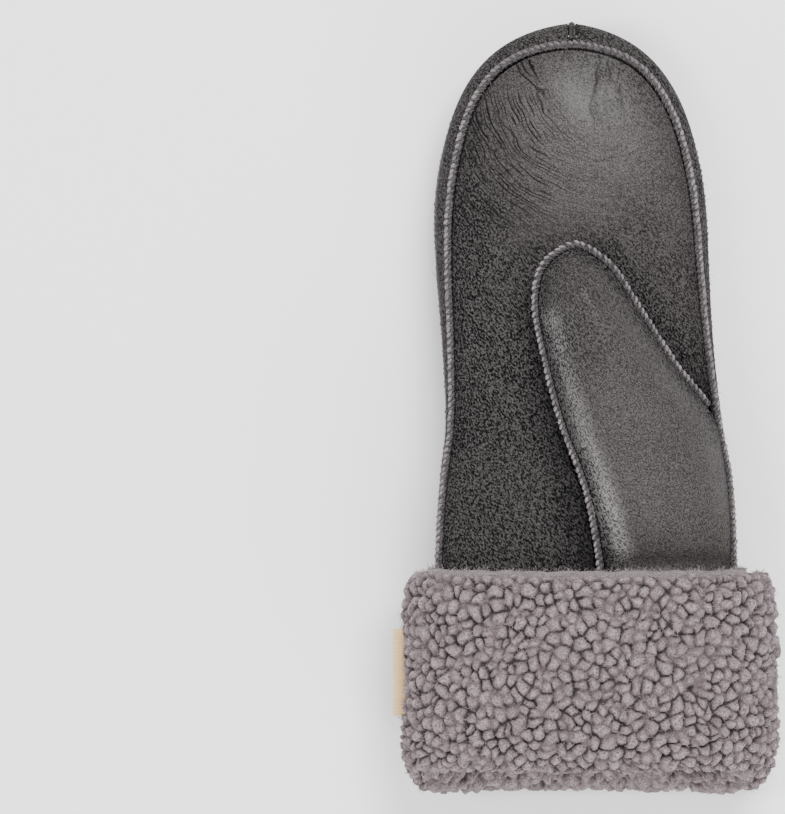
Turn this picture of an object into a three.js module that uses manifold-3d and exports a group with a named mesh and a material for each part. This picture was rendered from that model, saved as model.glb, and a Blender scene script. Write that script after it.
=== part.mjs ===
// A lined leather mitten with a turned-back fleece cuff, in millimetres.
// It lies on its back with the palm up, the fingertips toward +Y and the thumb toward +X.
// Until the last lines, Y is 0 at the rear lip of the mouth and Z is 0 at the surface it lies on.
import * as THREE from 'three';
import Module from 'manifold-3d';
import { mergeVertices } from 'three/addons/utils/BufferGeometryUtils.js';

// Driving dimensions
const mittenLength = 269;
const palmWidth = 97;
const palmDepth = 35;
const wristDepth = 33;
const crotchHeight = 138;
const thumbLength = 53.5;
const thumbDepth = 15;
const thumbHalfWidth = 17;

// Leather and seams
const leather = 2.4;
const skived = 1.4;
const skivedMargin = 6;
const gap = 0.3;
const weltEase = 0.2;
const seamEase = 0.5;
const backLeafEase = 0.9;
const ringEase = 0.8;
const weltRadius = 1.3;
const weltSink = 0.4;
const tipSeamSink = 1;

// Rounding of the hand's section, and where its panels' middle line bends over the fingertips
const roundness = 2.3;
const spineBend = 0.76;
const spineTipShare = 0.4;

// Cuff
const cuffHeight = 78.5;
const cuffSkin = 1.5;
const pile = 9.4;
const pileLean = 1.4;
const liningPile = 4.2;
const liningHeight = 81;
const lipStep = 10;
const foldDepth = 19;
const tuftRelief = 0.9;
const underPile = 6.5;
const foldEase = 0.7;
const cutEdgeShown = 0.6;
const lipTurn = 0.35;

// Label
const labelHeight = 30;
const labelWidth = 7;
const labelThick = 1.4;
const labelMiddle = 43.5;
const labelProud = 3;

// Mesh fineness
const bodyColumns = 26;
const thumbColumns = 24;
const sheetRows = 5;
const bandRows = 4;
const weltSides = 6;
const cuffSides = 60;
const tipSteps = 6;
const bandSteps = 14;
const rowCrowding = 1.5;
const curveSamples = 400;

// Outline of the hand seen from above, lengths as shares of mittenLength, widths of palmWidth.
// Inset is how far the palm seam lies inside the outline.
const outlineRows = [
  { at: 0.05, left: -0.493, right: 0.574, inset: 0.012 },
  { at: 0.31, left: -0.493, right: 0.574, inset: 0.012 },
  { at: 0.41, left: -0.476, right: 0.562, inset: 0.014 },
  { at: 0.48, left: -0.456, right: 0.532, inset: 0.018 },
  { at: 0.59, left: -0.469, right: 0.501, inset: 0.030 },
  { at: 0.69, left: -0.491, right: 0.487, inset: 0.042 },
  { at: 0.77, left: -0.494, right: 0.476, inset: 0.051 },
  { at: 0.845, left: -0.461, right: 0.439, inset: 0.054 },
  { at: 0.897, left: -0.419, right: 0.391, inset: 0.058 },
  { at: 0.948, left: -0.332, right: 0.303, inset: 0.064 },
  { at: 0.982, left: -0.205, right: 0.180, inset: 0.076 },
];
const tipAcross = -0.005;
const tipInset = 0.088;
const backSeamInset = 0.011;
const backTipInset = 0.028;
const backTipStart = 0.8;

// Depth of the hand along its length, as shares of palmDepth, with how far it presses on the surface.
const depthRows = [
  { at: 0.30, depth: 0.98, press: 0 },
  { at: 0.45, depth: 1.00, press: 0 },
  { at: 0.58, depth: 1.02, press: 0.020 },
  { at: 0.70, depth: 1.02, press: 0.040 },
  { at: 0.82, depth: 0.98, press: 0.040 },
  { at: 0.92, depth: 0.90, press: 0.010 },
  { at: 1.00, depth: 0.80, press: -0.040 },
];
const wristEnd = 0.31;
const handStart = 0.60;

// Broad dents in the upper side, places as shares of length and width, sizes as shares of palmWidth.
const dentRows = [
  { at: 0.46, across: -0.24, long: 0.50, wide: 0.13, turn: 80, depth: 0.018 },
  { at: 0.915, across: -0.21, long: 0.10, wide: 0.035, turn: -50, depth: 0.014 },
  { at: 0.935, across: 0.03, long: 0.09, wide: 0.035, turn: -85, depth: 0.012 },
  { at: 0.70, across: 0.34, long: 0.22, wide: 0.06, turn: 100, depth: 0.014 },
  { at: 0.345, across: 0.30, long: 0.17, wide: 0.05, turn: 12, depth: 0.016 },
];
const dentFade = 0.2;

// The thumb seam from the mouth up the palm, over the thumb's tip and down to the crotch.
// Across is a share of palmWidth. Up is a share of thumbLength above the crotch, of crotchHeight below.
const thumbRows = [
  { across: 0.100, up: -0.900 },
  { across: 0.088, up: -0.450 },
  { across: 0.066, up: -0.330 },
  { across: 0.032, up: -0.215 },
  { across: -0.048, up: -0.063 },
  { across: -0.110, up: 0.270 },
  { across: -0.144, up: 0.640 },
  { across: -0.116, up: 0.850 },
  { across: -0.008, up: 0.985 },
  { across: 0.112, up: 0.865 },
  { across: 0.220, up: 0.580 },
  { across: 0.360, up: 0.200 },
];
const thumbTipRow = 8;
const thumbSpineRows = [
  { across: 0.330, up: -0.900 },
  { across: 0.310, up: -0.400 },
  { across: 0.220, up: -0.060 },
  { across: 0.090, up: 0.400 },
  { across: 0.036, up: 0.690 },
];
const backLeafSpineRows = [
  { across: 0.210, up: -0.100 },
  { across: 0.100, up: 0.400 },
  { across: 0.036, up: 0.690 },
];
const thumbRiseRows = [
  { up: -0.42, rise: 0 },
  { up: -0.34, rise: 0.20 },
  { up: -0.22, rise: 0.55 },
  { up: -0.08, rise: 0.80 },
  { up: 0.25, rise: 1.00 },
  { up: 0.70, rise: 0.96 },
  { up: 1.00, rise: 0.85 },
];

// The line where the thumb's back leaf leaves the palm, and how high the thumb seam lies above the palm.
const forkRows = [
  { across: -0.02, up: -0.135 },
  { across: 0.455, up: 0.150 },
];
const forkLift = 2.6;
const freeLift = 6.5;
const forkReach = 16;
const freeReach = 30;
const sideReach = 6;
const backLeafRest = 0.6;
const backLeafDrop = 1.5;
const backLeafStart = -6;
const crotchDrop = 2;

const smooth = (value) => THREE.MathUtils.smoothstep(value, 0, 1);
const mix = THREE.MathUtils.lerp;
const flat = (x, y) => new THREE.Vector2(x, y);
const lift = (point, z) => new THREE.Vector3(point.x, point.y, z);
const range = (from, to) => Array.from({ length: to - from + 1 }, (_, step) => from + step);

// Read a column of a table at a place between its rows, on a smooth curve
function readRows(rows, key, column, place) {
  const last = rows.length - 1;
  const clamped = THREE.MathUtils.clamp(place, rows[0][key], rows[last][key]);
  let low = 0;
  while (low < last - 1 && rows[low + 1][key] < clamped) low += 1;
  const before = rows[Math.max(low - 1, 0)];
  const from = rows[low];
  const to = rows[low + 1];
  const after = rows[Math.min(low + 2, last)];
  const step = to[key] - from[key];
  const share = (clamped - from[key]) / step;
  const slopeFrom = (to[column] - before[column]) / (to[key] - before[key]) * step;
  const slopeTo = (after[column] - from[column]) / (after[key] - from[key]) * step;
  const square = share * share;
  const cube = square * share;
  return from[column] * (2 * cube - 3 * square + 1) + slopeFrom * (cube - 2 * square + share)
    + to[column] * (3 * square - 2 * cube) + slopeTo * (cube - square);
}

// Distance from a point to a line of points
function distanceTo(line, point) {
  let best = Infinity;
  for (let index = 1; index < line.length; index += 1) {
    const start = line[index - 1];
    const alongX = line[index].x - start.x;
    const alongY = line[index].y - start.y;
    const reach = alongX * alongX + alongY * alongY;
    const raw = ((point.x - start.x) * alongX + (point.y - start.y) * alongY) / reach;
    const share = THREE.MathUtils.clamp(raw, 0, 1);
    const offX = point.x - start.x - share * alongX;
    const offY = point.y - start.y - share * alongY;
    best = Math.min(best, Math.hypot(offX, offY));
  }
  return best;
}

// Directions square to a line of points, turned to its right
function sideways(line) {
  return line.map((point, index) => {
    const before = line[Math.max(index - 1, 0)];
    const after = line[Math.min(index + 1, line.length - 1)];
    const along = after.clone().sub(before).normalize();
    return flat(along.y, -along.x);
  });
}

// A smooth line through a few points, with the same number of steps before and after one of them
function lineThrough(points, turning, steps) {
  const curve = new THREE.CatmullRomCurve3(points.map((point) => lift(point, 0)), false, 'centripetal');
  const lengths = curve.getLengths(curveSamples);
  const turnSample = Math.round(curveSamples * turning / (points.length - 1));
  const turn = lengths[turnSample] / lengths[curveSamples];
  const line = [];
  for (let step = 0; step <= 2 * steps; step += 1) {
    const share = step <= steps ? turn * step / steps : turn + (1 - turn) * (step - steps) / steps;
    const point = curve.getPointAt(share);
    line.push(flat(point.x, point.y));
  }
  return line;
}

// Outline of the hand and its two seams
const bodyStart = foldDepth + gap + foldEase;
function outlinePoints() {
  const left = outlineRows.map((row) => flat(row.left * palmWidth, row.at * mittenLength));
  const right = outlineRows.map((row) => flat(row.right * palmWidth, row.at * mittenLength));
  left[0].y = bodyStart;
  right[0].y = bodyStart;
  return [...left, flat(tipAcross * palmWidth, mittenLength), ...right.reverse()];
}
const outline = lineThrough(outlinePoints(), outlineRows.length, bodyColumns);
const inward = sideways(outline);
const insetRows = [...outlineRows, { at: 1, inset: tipInset }];
const palmInset = outline.map((point) => {
  return palmWidth * readRows(insetRows, 'at', 'inset', point.y / mittenLength);
});
const backInset = outline.map((point) => {
  const share = smooth((point.y / mittenLength - backTipStart) / (1 - backTipStart));
  return palmWidth * mix(backSeamInset, backTipInset, share);
});
const insetLine = (insets) => outline.map((point, index) => {
  return point.clone().addScaledVector(inward[index], insets[index]);
});
const palmLine = insetLine(palmInset);
const backLine = insetLine(backInset);

// Half the width of the hand, its middle height and its half depth at a place along it
const wristLeft = outlineRows[0].left * palmWidth;
const wristRight = outlineRows[0].right * palmWidth;
const wristHalf = (wristRight - wristLeft) / 2;
const wristMiddle = (wristRight + wristLeft) / 2;
const cuffSkinInner = weltRadius - weltSink + gap + ringEase;
const pileInner = cuffSkinInner + cuffSkin + gap;
const wristHeight = wristDepth / 2 + pileInner + underPile;
const wristShare = (y) => 1 - smooth((y / mittenLength - wristEnd) / (handStart - wristEnd));
function halfDepth(y) {
  const hand = palmDepth * readRows(depthRows, 'at', 'depth', y / mittenLength) / 2;
  return mix(hand, wristDepth / 2, wristShare(y));
}
function middleHeight(y) {
  const press = palmDepth * readRows(depthRows, 'at', 'press', y / mittenLength);
  return mix(halfDepth(y) - press, wristHeight, wristShare(y));
}
function halfWidth(y) {
  return mix(palmWidth / 2, wristHalf, wristShare(y));
}
function swell(point) {
  const share = THREE.MathUtils.clamp(distanceTo(outline, point) / halfWidth(point.y), 0, 1);
  return halfDepth(point.y) * (1 - (1 - share) ** roundness) ** (1 / roundness);
}
function dents(point) {
  return dentRows.reduce((sum, row) => {
    const turn = THREE.MathUtils.degToRad(row.turn);
    const offX = point.x - row.across * palmWidth;
    const offY = point.y - row.at * mittenLength;
    const long = (offX * Math.cos(turn) + offY * Math.sin(turn)) / (row.long * palmWidth);
    const wide = (offY * Math.cos(turn) - offX * Math.sin(turn)) / (row.wide * palmWidth);
    return sum + row.depth * palmWidth * Math.exp(-long * long - wide * wide);
  }, 0);
}

// Heights of the upper and under side of the hand
const dentShare = (y) => smooth((y - cuffHeight) / (dentFade * crotchHeight));
const topHeight = (point) => middleHeight(point.y) + swell(point) - dents(point) * dentShare(point.y);
const underHeight = (point) => Math.max(middleHeight(point.y) - swell(point), 0);

// Thumb seam, and the edge that the thumb's front leaf shares with the side of the hand
const thumbPoint = (row) => {
  return flat(row.across * palmWidth, crotchHeight + row.up * (row.up > 0 ? thumbLength : crotchHeight));
};
const thumbSidePoints = palmLine.filter((point, index) => index > bodyColumns && point.y < crotchHeight);
const crotch = thumbSidePoints[0].clone().add(flat(-2 * weltRadius - gap, 0));
crotch.y = Math.max(crotch.y, crotchHeight - crotchDrop);
const thumbPoints = [...thumbRows.map(thumbPoint), crotch];
thumbPoints[0].y = bodyStart;
const thumbLine = lineThrough(thumbPoints, thumbTipRow, thumbColumns);
const thumbEdge = [...thumbLine, ...thumbSidePoints];
const thumbSide = palmLine.filter((point, index) => index > bodyColumns);

// How far the thumb seam lies above the palm, and how far the thumb's front leaf swells above its seam
const forkStart = thumbPoint(forkRows[0]);
const forkEnd = thumbPoint(forkRows[1]);
const forkAlong = forkEnd.clone().sub(forkStart).normalize();
const pastFork = (point) => forkAlong.cross(point.clone().sub(forkStart));
function seamRise(point) {
  const past = pastFork(point);
  const near = forkLift * smooth((past + forkReach) / forkReach);
  const free = (freeLift - forkLift) * smooth(past / freeReach);
  return (near + free) * smooth(distanceTo(thumbSide, point) / sideReach);
}
function thumbSwell(point) {
  const above = point.y > crotchHeight;
  const up = (point.y - crotchHeight) / (above ? thumbLength : crotchHeight);
  const share = THREE.MathUtils.clamp(distanceTo(thumbEdge, point) / thumbHalfWidth, 0, 1);
  return thumbDepth * readRows(thumbRiseRows, 'up', 'rise', up) * (1 - (1 - share) ** 2);
}
const thumbFrontHeight = (point) => topHeight(point) + seamRise(point) + thumbSwell(point);
function thumbBackHeight(point) {
  const share = THREE.MathUtils.clamp(distanceTo(thumbLine, point) / thumbHalfWidth, 0, 1);
  const edge = (1 - share) ** 2;
  return topHeight(point) + mix(backLeafRest, Math.max(seamRise(point) - backLeafDrop, backLeafRest), edge);
}

// Middle lines of the three long welts, in space
const palmSeam = palmLine.map((point) => lift(point, topHeight(point) - weltSink));
const backSeam = backLine.map((point) => lift(point, middleHeight(point.y) - swell(point) + weltSink));
const thumbSeam = thumbLine.map((point) => lift(point, topHeight(point) + seamRise(point) - weltSink));
const weltClear = weltRadius + gap + weltEase;

// Closed solids: positions and faces become a mesh with its faces pointing out
const wasm = await Module();
wasm.setup();
function toGeometry(corners, faces) {
  const geometry = new THREE.BufferGeometry();
  const numbers = corners.flatMap((corner) => corner.toArray());
  geometry.setAttribute('position', new THREE.Float32BufferAttribute(numbers, 3));
  let volume = 0;
  for (const [a, b, c] of faces) {
    volume += corners[a].dot(corners[b].clone().cross(corners[c]));
  }
  const outward = volume > 0 ? faces : faces.map(([a, b, c]) => [a, c, b]);
  geometry.setIndex(outward.flat());
  return mergeVertices(geometry, 1e-3);
}
function toSolid(geometry) {
  const vertProperties = new Float32Array(geometry.getAttribute('position').array);
  const triVerts = new Uint32Array(geometry.getIndex().array);
  return new wasm.Manifold(new wasm.Mesh({ numProp: 3, vertProperties, triVerts }));
}
function fromSolid(solid) {
  const cut = solid.getMesh();
  const geometry = new THREE.BufferGeometry();
  geometry.setAttribute('position', new THREE.Float32BufferAttribute(cut.vertProperties, 3));
  geometry.setIndex([...cut.triVerts]);
  return mergeVertices(geometry, 1e-3);
}

// Faces between rows of corners, row by row, closed around where asked.
// With checks, the splits take turns, so every second corner can stand up by itself.
function gridFaces(rows, columns, ringRows, ringColumns, checks = false) {
  const faces = [];
  for (let row = 0; row < rows - (ringRows ? 0 : 1); row += 1) {
    for (let column = 0; column < columns - (ringColumns ? 0 : 1); column += 1) {
      const here = row * columns + column;
      const next = row * columns + (column + 1) % columns;
      const above = ((row + 1) % rows) * columns + column;
      const across = ((row + 1) % rows) * columns + (column + 1) % columns;
      if (checks && (row + column) % 2 === 0) faces.push([here, next, above], [next, across, above]);
      else faces.push([here, next, across], [here, across, above]);
    }
  }
  return faces;
}

// A leather sheet between two grids of corners, outer and inner, with its rim closed
function sheetGeometry(outer, inner, rows, columns, rim) {
  const count = rows * columns;
  const faces = gridFaces(rows, columns, false, false);
  const under = faces.map(([a, b, c]) => [a + count, c + count, b + count]);
  const edge = rim.flatMap((here, index) => {
    const next = rim[(index + 1) % rim.length];
    return [[here, next, next + count], [here, next + count, here + count]];
  });
  return toGeometry([...outer, ...inner], [...faces, ...under, ...edge]);
}

// Direction out of a surface given by its height, on its upper or its under side
function surfaceOut(height, point, side) {
  const reach = 0.4;
  const at = (x, y) => height(flat(point.x + x, point.y + y));
  const slopeX = (at(reach, 0) - at(-reach, 0)) / (2 * reach);
  const slopeY = (at(0, reach) - at(0, -reach)) / (2 * reach);
  return new THREE.Vector3(-slopeX, -slopeY, 1).normalize().multiplyScalar(side);
}

// Distance in space from a point to the middle line of a welt
function distanceToWelt(centres, corner) {
  const nearest = new THREE.Vector3();
  const part = new THREE.Line3();
  let best = Infinity;
  for (let index = 1; index < centres.length; index += 1) {
    part.set(centres[index - 1], centres[index]);
    best = Math.min(best, part.closestPointToPoint(corner, true, nearest).distanceTo(corner));
  }
  return best;
}

// The first place on a surface, on the way from a seam to another point, whose edge is clear of the welts
function clearOfWelts(seam, target, height, side, welts, extra) {
  const step = 0.1;
  const way = target.clone().sub(seam).normalize();
  const place = seam.clone();
  const touches = () => {
    const corner = lift(place, height(place));
    const inside = corner.clone().addScaledVector(surfaceOut(height, place, side), -skived);
    return welts.some((centres) => {
      return Math.min(distanceToWelt(centres, corner), distanceToWelt(centres, inside)) < weltClear;
    });
  };
  while (touches()) place.addScaledVector(way, step);
  return place.addScaledVector(way, extra);
}

// A leather panel inside a seam, spread from the seam to a middle line, column by column
function panel({ seam, welts, middle, height, side, extra = 0 }) {
  const outer = [];
  const inner = [];
  const starts = seam.map((point, index) => {
    return clearOfWelts(point, middle[index], height, side, welts, extra);
  });
  seam.forEach((point, index) => {
    for (let row = 0; row <= sheetRows; row += 1) {
      const share = (row / sheetRows) ** rowCrowding;
      const place = starts[index].clone().lerp(middle[index], share);
      const margin = starts[index].distanceTo(place) / skivedMargin;
      const out = surfaceOut(height, place, side);
      const corner = lift(place, height(place));
      outer.push(corner);
      inner.push(corner.clone().addScaledVector(out, -mix(skived, leather, smooth(margin))));
    }
  });
  const columns = sheetRows + 1;
  const rows = seam.length;
  const rim = [];
  for (let row = 0; row < rows; row += 1) rim.push(row * columns);
  for (let column = 1; column < columns - 1; column += 1) rim.push((rows - 1) * columns + column);
  rim.push((rows - 1) * columns + columns - 1);
  for (let column = columns - 2; column > 0; column -= 1) rim.push(column);
  return sheetGeometry(outer, inner, rows, columns, rim);
}

// Middle line of the hand: level with the sides, and short of the tip by the rounding
function handMiddle() {
  const bend = spineBend * mittenLength;
  return outline.map((point, index) => {
    const level = (point.y + outline[outline.length - 1 - index].y) / 2;
    const row = Math.min(level, bend) + spineTipShare * Math.max(level - bend, 0);
    const share = row / mittenLength;
    const left = readRows(outlineRows, 'at', 'left', share);
    const right = readRows(outlineRows, 'at', 'right', share);
    return flat((left + right) / 2 * palmWidth, row);
  });
}

// A ring of the welt's section around each point of a seam, capped at both ends
function welt(centres) {
  const corners = [];
  centres.forEach((centre, index) => {
    const before = centres[Math.max(index - 1, 0)];
    const after = centres[Math.min(index + 1, centres.length - 1)];
    const along = after.clone().sub(before).normalize();
    const level = Math.abs(along.z) > 0.9 ? new THREE.Vector3(1, 0, 0) : new THREE.Vector3(0, 0, 1);
    const across = along.clone().cross(level).normalize();
    const up = across.clone().cross(along);
    for (let side = 0; side < weltSides; side += 1) {
      const angle = 2 * Math.PI * (side + 0.5) / weltSides;
      const out = across.clone().multiplyScalar(Math.cos(angle)).addScaledVector(up, Math.sin(angle));
      corners.push(centre.clone().addScaledVector(out, weltRadius));
    }
  });
  const faces = gridFaces(centres.length, weltSides, false, true);
  const last = (centres.length - 1) * weltSides;
  for (let side = 1; side < weltSides - 1; side += 1) {
    faces.push([0, side + 1, side], [last, last + side, last + side + 1]);
  }
  return toGeometry(corners, faces);
}

// The section of the side band at one place along the outline, from the back seam to the palm seam
function bandSection(index) {
  const at = (inset) => outline[index].clone().addScaledVector(inward[index], inset);
  const section = [];
  for (let step = -bandSteps; step <= bandSteps; step += 1) {
    const inset = (step < 0 ? backInset[index] : palmInset[index]) * (step / bandSteps) ** 2;
    const place = at(inset);
    const rise = step < 0 ? -swell(place) : swell(place);
    section.push(lift(place, middleHeight(place.y) + rise));
  }
  return section;
}
function bandWalk(section, trim) {
  const lengths = [0];
  for (let step = 1; step < section.length; step += 1) {
    lengths.push(lengths[step - 1] + section[step].distanceTo(section[step - 1]));
  }
  const total = lengths[lengths.length - 1];
  return (share) => {
    const target = trim + share * (total - 2 * trim);
    let step = 1;
    while (step < section.length - 1 && lengths[step] < target) step += 1;
    const part = (target - lengths[step - 1]) / (lengths[step] - lengths[step - 1]);
    return section[step - 1].clone().lerp(section[step], part);
  };
}

// A side band from one column of the outline to another
function sideBand(columns) {
  const outer = [];
  const inner = [];
  columns.forEach((column) => {
    const index = Math.min(Math.max(Math.round(column), 0), outline.length - 1);
    const walk = bandWalk(bandSection(index), weltClear + seamEase);
    const along = flat(-inward[index].y, inward[index].x);
    const shift = (column - index) * outline[1].distanceTo(outline[0]);
    for (let row = 0; row <= bandRows; row += 1) {
      const near = 0.02;
      const share = row / bandRows;
      const corner = walk(share);
      const slope = walk(Math.min(share + near, 1)).sub(walk(Math.max(share - near, 0))).normalize();
      const out = new THREE.Vector3(along.x, along.y, 0).cross(slope).normalize();
      if (out.x * inward[index].x + out.y * inward[index].y > 0) out.negate();
      const thick = mix(skived, leather, smooth(2 * Math.min(share, 1 - share)));
      corner.addScaledVector(new THREE.Vector3(along.x, along.y, 0), shift);
      outer.push(corner);
      inner.push(corner.clone().addScaledVector(out, -thick));
    }
  });
  const count = bandRows + 1;
  const rows = columns.length;
  const rim = [];
  for (let row = 0; row < rows; row += 1) rim.push(row * count);
  for (let column = 1; column < count; column += 1) rim.push((rows - 1) * count + column);
  for (let row = rows - 2; row >= 0; row -= 1) rim.push(row * count + count - 1);
  for (let column = count - 2; column > 0; column -= 1) rim.push(column);
  return sheetGeometry(outer, inner, rows, count, rim);
}

// The palm without the place where the thumb goes in
function palmWithThumbHole(geometry) {
  const out = sideways(thumbEdge);
  const hole = thumbEdge.map((point, index) => point.clone().addScaledVector(out[index], -weltClear));
  hole[0].y = 0;
  hole[hole.length - 1].y = 0;
  const far = mittenLength;
  const prism = new THREE.ExtrudeGeometry(new THREE.Shape(hole), { depth: far, bevelEnabled: false });
  const below = pastForkBox(-far / 2);
  const cutter = toSolid(bareGeometry(prism)).intersect(toSolid(below));
  return fromSolid(toSolid(geometry).subtract(cutter));
}
function bareGeometry(geometry) {
  geometry.deleteAttribute('normal');
  geometry.deleteAttribute('uv');
  return mergeVertices(geometry, 1e-3);
}

// A large block on one side of the fork line, its middle that far past the line
function pastForkBox(middlePast) {
  const size = Math.abs(2 * middlePast);
  const box = new THREE.BoxGeometry(4 * size, size, 4 * size);
  const square = flat(-forkAlong.y, forkAlong.x);
  box.rotateZ(forkAlong.angle());
  box.translate(forkStart.x + square.x * middlePast, forkStart.y + square.y * middlePast, 0);
  return bareGeometry(box);
}

// The thumb's two leaves
function thumbMiddle(edge, rows) {
  const curve = new THREE.SplineCurve(rows.map(thumbPoint));
  const half = (edge.length - 1) / 2;
  return edge.map((point, index) => curve.getPointAt(1 - Math.abs(index - half) / half));
}
function evenLine(points, turning, steps) {
  const walk = (part) => {
    const curve = new THREE.CatmullRomCurve3(part.map((point) => lift(point, 0)), false, 'centripetal');
    return range(0, steps).map((step) => {
      const point = curve.getPointAt(step / steps);
      return flat(point.x, point.y);
    });
  };
  return [...walk(points.slice(0, turning + 1)), ...walk(points.slice(turning)).slice(1)];
}
function thumbFront() {
  const seam = evenLine(thumbEdge, thumbColumns, thumbColumns);
  const middle = thumbMiddle(seam, thumbSpineRows);
  const mouthEnd = flat(middle[0].x, bodyStart);
  middle[0].copy(mouthEnd);
  middle[middle.length - 1].copy(mouthEnd);
  return panel({ seam, welts: [thumbSeam, palmSeam], middle, height: thumbFrontHeight, side: 1 });
}
function thumbBack() {
  const first = thumbLine.findIndex((point) => pastFork(point) > backLeafStart);
  const seam = evenLine(thumbLine.slice(first), thumbColumns - first, thumbColumns);
  const middle = thumbMiddle(seam, backLeafSpineRows);
  const leaf = panel({
    seam, welts: [thumbSeam], middle, height: thumbBackHeight, side: -1, extra: backLeafEase,
  });
  const far = mittenLength;
  return fromSolid(toSolid(leaf).intersect(toSolid(pastForkBox(far / 2 + gap))));
}

// Cuff: rings around the wrist, each an oval that stands off the wrist by its offset
const outerOffset = pileInner + pile;
const ovalExponent = 2 / roundness;
function ovalPoint(angle, offset, y) {
  const cos = Math.cos(angle);
  const sin = Math.sin(angle);
  const share = Math.max(offset, 0) / outerOffset;
  const reachX = (wristHalf + offset) * Math.sign(cos) * Math.abs(cos) ** ovalExponent;
  const reachZ = (wristDepth / 2 + offset) * Math.sign(sin) * Math.abs(sin) ** ovalExponent;
  const x = wristMiddle + pileLean * share + reachX;
  const z = wristHeight + reachZ;
  return new THREE.Vector3(x, y, Math.max(z, 0));
}
function cuffAngles() {
  const fine = 720;
  const lengths = [0];
  for (let step = 1; step <= fine; step += 1) {
    const here = ovalPoint(2 * Math.PI * step / fine, 0, 0);
    const before = ovalPoint(2 * Math.PI * (step - 1) / fine, 0, 0);
    lengths.push(lengths[step - 1] + here.distanceTo(before));
  }
  return Array.from({ length: cuffSides }, (_, side) => {
    const target = lengths[fine] * side / cuffSides;
    const step = lengths.findIndex((length) => length >= target);
    return 2 * Math.PI * step / fine;
  });
}
const turns = cuffAngles();
const lipShift = (angle) => lipStep * smooth((Math.sin(angle) + lipTurn) / (2 * lipTurn));
function ringGeometry(rows) {
  const corners = rows.flatMap((row, index) => turns.map((angle, side) => {
    const tuft = row.tuft * tuftRelief * ((index + side) % 2 ? -1 : 1);
    return ovalPoint(angle, row.offset + tuft, row.y + row.lip * lipShift(angle));
  }));
  return toGeometry(corners, gridFaces(rows.length, cuffSides, true, true, true));
}

// Fleece rows: height as a share of cuffHeight, offset as a share of the pile outside the leather.
// Lip says how much of the step between the two lips a row takes, tuft how much of the tufts' relief.
const fleeceRows = [
  { at: 0.990, out: 0.15, lip: 0, tuft: 0 },
  { at: 0.995, out: 0.50, lip: 0, tuft: 0 },
  { at: 0.970, out: 0.80, lip: 0, tuft: 0 },
  { at: 0.900, out: 0.93, lip: 0, tuft: 1 },
  { at: 0.810, out: 0.97, lip: 0, tuft: 1 },
  { at: 0.715, out: 0.98, lip: 0, tuft: 1 },
  { at: 0.620, out: 0.99, lip: 0, tuft: 1 },
  { at: 0.520, out: 1.00, lip: 0.05, tuft: 1 },
  { at: 0.420, out: 1.02, lip: 0.15, tuft: 1 },
  { at: 0.315, out: 1.04, lip: 0.35, tuft: 1 },
  { at: 0.210, out: 1.07, lip: 0.65, tuft: 1 },
  { at: 0.115, out: 1.00, lip: 0.90, tuft: 1 },
  { at: 0.040, out: 0.70, lip: 1, tuft: 0.7 },
  { at: 0.000, out: 0.20, lip: 1, tuft: 0 },
];
const liningOuter = -(leather + gap + ringEase);
const liningInner = liningOuter - liningPile;
function cuffFleece() {
  const outside = fleeceRows.map((row) => {
    return { y: row.at * cuffHeight, offset: pileInner + row.out * pile, lip: row.lip, tuft: row.tuft };
  });
  const inside = [
    { y: 0.02 * cuffHeight, offset: -0.4 * liningPile, lip: 1, tuft: 0 },
    { y: 0.09 * cuffHeight, offset: liningInner + 0.5, lip: 1, tuft: 0 },
    { y: 0.25 * cuffHeight, offset: liningInner, lip: 0.5, tuft: 0 },
    { y: 0.60 * cuffHeight, offset: liningInner, lip: 0, tuft: 0 },
    { y: liningHeight, offset: liningInner + 0.3, lip: 0, tuft: 0 },
    { y: liningHeight, offset: liningOuter, lip: 0, tuft: 0 },
    { y: foldDepth, offset: liningOuter, lip: 0, tuft: 0 },
    { y: foldDepth, offset: pileInner, lip: 0, tuft: 0 },
    { y: 0.98 * cuffHeight, offset: pileInner, lip: 0, tuft: 0 },
  ];
  const pocket = labelPlate(gap);
  return fromSolid(toSolid(ringGeometry([...outside, ...inside])).subtract(toSolid(pocket)));
}
function cuffSkinRing() {
  const low = bodyStart;
  const high = cuffHeight + cutEdgeShown;
  const inner = cuffSkinInner;
  const outer = cuffSkinInner + cuffSkin;
  return ringGeometry([
    { y: low, offset: outer, lip: 0, tuft: 0 },
    { y: high, offset: outer, lip: 0, tuft: 0 },
    { y: high, offset: inner, lip: 0, tuft: 0 },
    { y: low, offset: inner, lip: 0, tuft: 0 },
  ]);
}

// Label: a flat folded tab that stands out of the pile at the side away from the thumb
function labelPlate(margin) {
  const edge = wristMiddle + pileLean - wristHalf - outerOffset - labelProud;
  const width = labelWidth + 2 * margin;
  const box = new THREE.BoxGeometry(width, labelHeight + 2 * margin, labelThick + 2 * margin);
  box.translate(edge + labelWidth / 2, labelMiddle, wristHeight);
  return bareGeometry(box);
}

// Finishes
const leatherLook = { color: 0x55524f, roughness: 0.5, metalness: 0 };
const seamLook = { color: 0x827c7b, roughness: 0.8, metalness: 0 };
const fleeceLook = { color: 0x8d8384, roughness: 0.95, metalness: 0 };
const cutEdgeLook = { color: 0x9c9696, roughness: 0.9, metalness: 0 };
const labelLook = { color: 0xd8c2a2, roughness: 0.85, metalness: 0 };

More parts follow.
